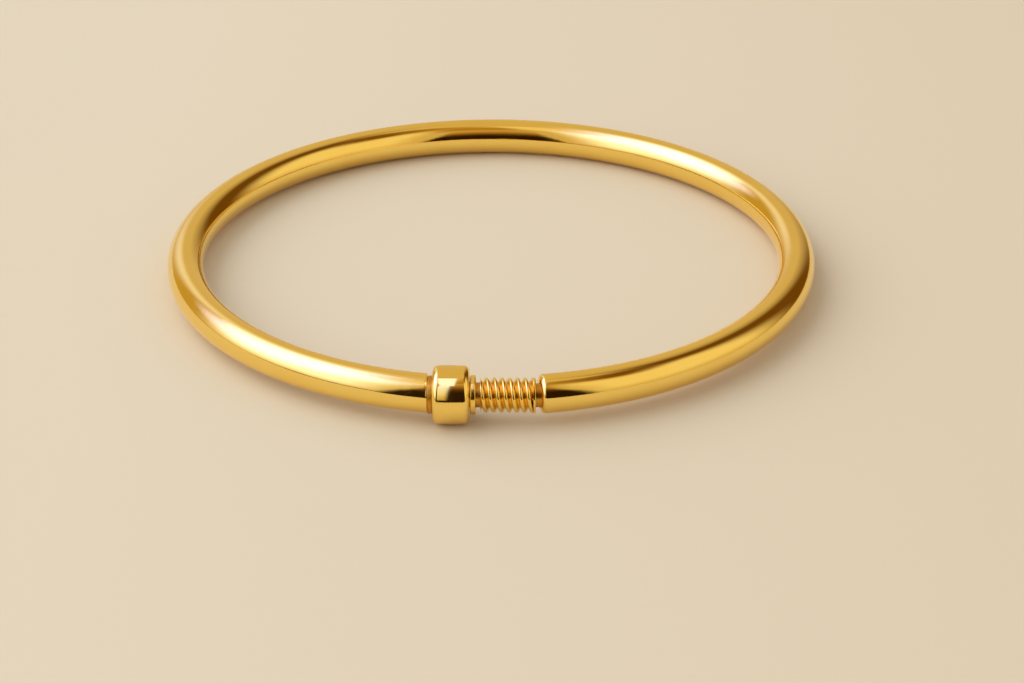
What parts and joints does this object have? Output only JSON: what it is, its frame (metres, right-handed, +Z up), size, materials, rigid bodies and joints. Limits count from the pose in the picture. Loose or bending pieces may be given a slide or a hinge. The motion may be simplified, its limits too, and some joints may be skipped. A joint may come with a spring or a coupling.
{
  "type": "kada bangle",
  "caption": "Round polished gold rod bangle, an open ring whose gap is bridged by a threaded screw with a barrel nut between two collars; lies on its side.",
  "frame": {"origin": "on the surface that the bangle lies on, straight below the centre of the hoop", "axes": "+Z up, through the hoop, +X along the screw from the nut to the free end, -Y from the centre to the screw closure"},
  "size_m": [0.0678, 0.0686, 0.0057],
  "materials": {
    "polished_gold": "mirror-polished 22 carat yellow gold",
    "turned_gold": "finely turned 22 carat yellow gold"
  },
  "bodies": {
    "hoop": {"hoop": "polished_gold"},
    "screw": {"threaded_rod": "turned_gold", "left_collar": "turned_gold", "barrel_nut": "polished_gold", "right_collar": "turned_gold"}
  },
  "joints": [
    {"name": "screw_turn", "type": "hinge", "parent": "hoop", "child": "screw", "pos_m": [-0.00318, -0.0319, 0.00285], "axis": [1, 0, 0], "continuous": true}
  ]
}
